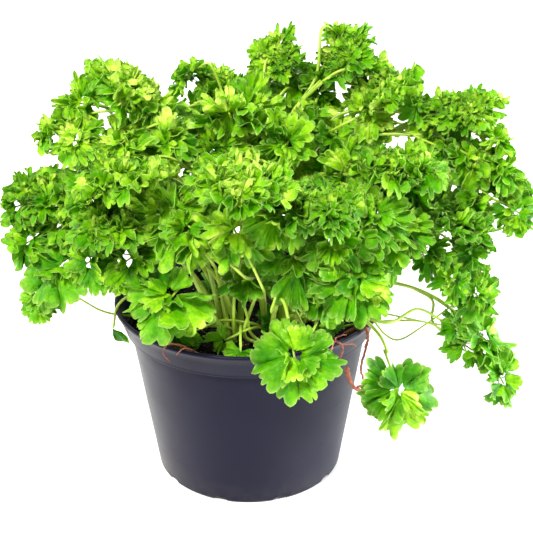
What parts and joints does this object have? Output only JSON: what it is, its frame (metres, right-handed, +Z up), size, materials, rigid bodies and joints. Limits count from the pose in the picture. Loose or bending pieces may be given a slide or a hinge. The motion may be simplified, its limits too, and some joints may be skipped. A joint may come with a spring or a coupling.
{
  "type": "potted curly parsley",
  "caption": "Curly parsley in a tapered plastic nursery pot, its frilled fronds arching up out of dark peat and spilling over the rim.",
  "frame": {"origin": "centre of the pot's base, on the surface the pot stands on", "axes": "+Z up along the pot's axis, -Y towards the front of the plant, +X to the right seen from the front"},
  "size_m": [0.2807, 0.2269, 0.2356],
  "materials": {
    "pot": "dark blue-grey moulded plastic with a soft satin sheen",
    "peat": "damp, crumbly, almost black peat",
    "root": "pale tan root skin, matt",
    "petiole": "pale yellow-green, smooth and slightly glossy",
    "leaf": "bright green, thin, slightly waxy, light through it"
  },
  "bodies": {
    "root": {"pot": "pot", "soil": "peat", "root_west": "root", "root_south": "root", "root_east": "root", "root_north": "root", "stem_01": "petiole", "leaf_01": "leaf", "stem_02": "petiole", "leaf_02": "leaf", "stem_03": "petiole", "leaf_03": "leaf", "stem_04": "petiole", "leaf_04": "leaf", "stem_05": "petiole", "leaf_05": "leaf", "stem_06": "petiole", "leaf_06": "leaf", "stem_07": "petiole", "leaf_07": "leaf", "stem_08": "petiole", "leaf_08": "leaf", "stem_09": "petiole", "leaf_09": "leaf", "stem_10": "petiole", "leaf_10": "leaf", "stem_11": "petiole", "leaf_11": "leaf", "stem_12": "petiole", "leaf_12": "leaf", "stem_13": "petiole", "leaf_13": "leaf", "stem_14": "petiole", "leaf_14": "leaf", "stem_15": "petiole", "leaf_15": "leaf", "stem_16": "petiole", "leaf_16": "leaf", "stem_17": "petiole", "leaf_17": "leaf", "stem_18": "petiole", "leaf_18": "leaf", "stem_19": "petiole", "leaf_19": "leaf", "stem_20": "petiole", "leaf_20": "leaf", "stem_21": "petiole", "leaf_21": "leaf", "stem_22": "petiole", "leaf_22": "leaf", "stem_23": "petiole", "leaf_23": "leaf", "stem_24": "petiole", "leaf_24": "leaf", "stem_25": "petiole", "leaf_25": "leaf", "stem_26": "petiole", "leaf_26": "leaf", "stem_27": "petiole", "leaf_27": "leaf"}
  },
  "joints": []
}
